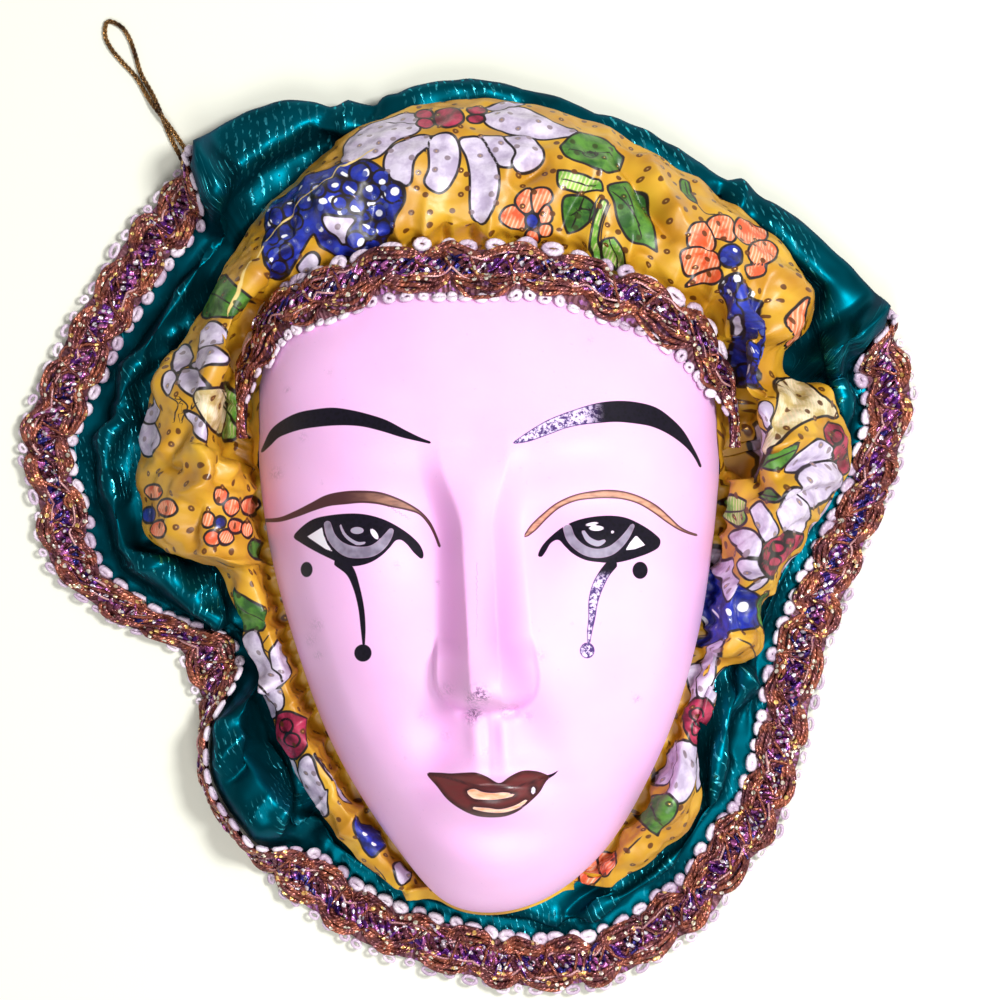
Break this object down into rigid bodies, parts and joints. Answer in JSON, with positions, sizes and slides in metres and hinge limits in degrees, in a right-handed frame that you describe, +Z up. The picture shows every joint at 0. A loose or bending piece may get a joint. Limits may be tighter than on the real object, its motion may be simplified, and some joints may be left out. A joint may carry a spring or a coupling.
{
  "type": "masquerade mask",
  "caption": "Decorative ceramic harlequin face mask with a braided headband, a gathered floral ruffle, a braid-edged satin collar and a hanging loop.",
  "frame": {"origin": "on the surface the mask lies on, below the middle of its outline without the hanging loop", "axes": "+Z is up, the way the face looks as it lies on its back; +Y is towards the crown of the head; +X is to the right seen from above"},
  "size_m": [0.1782, 0.1942, 0.0509],
  "materials": {
    "bisque": "satin",
    "metallic_braid": "satin",
    "floral_satin": "satin",
    "teal_satin": "satin",
    "gold_cord": "satin"
  },
  "bodies": {
    "root": {"face_shell": "bisque", "headband_braid": "metallic_braid", "floral_ruffle": "floral_satin", "teal_collar": "teal_satin", "edge_braid": "metallic_braid", "hanging_cord": "gold_cord"}
  },
  "joints": []
}
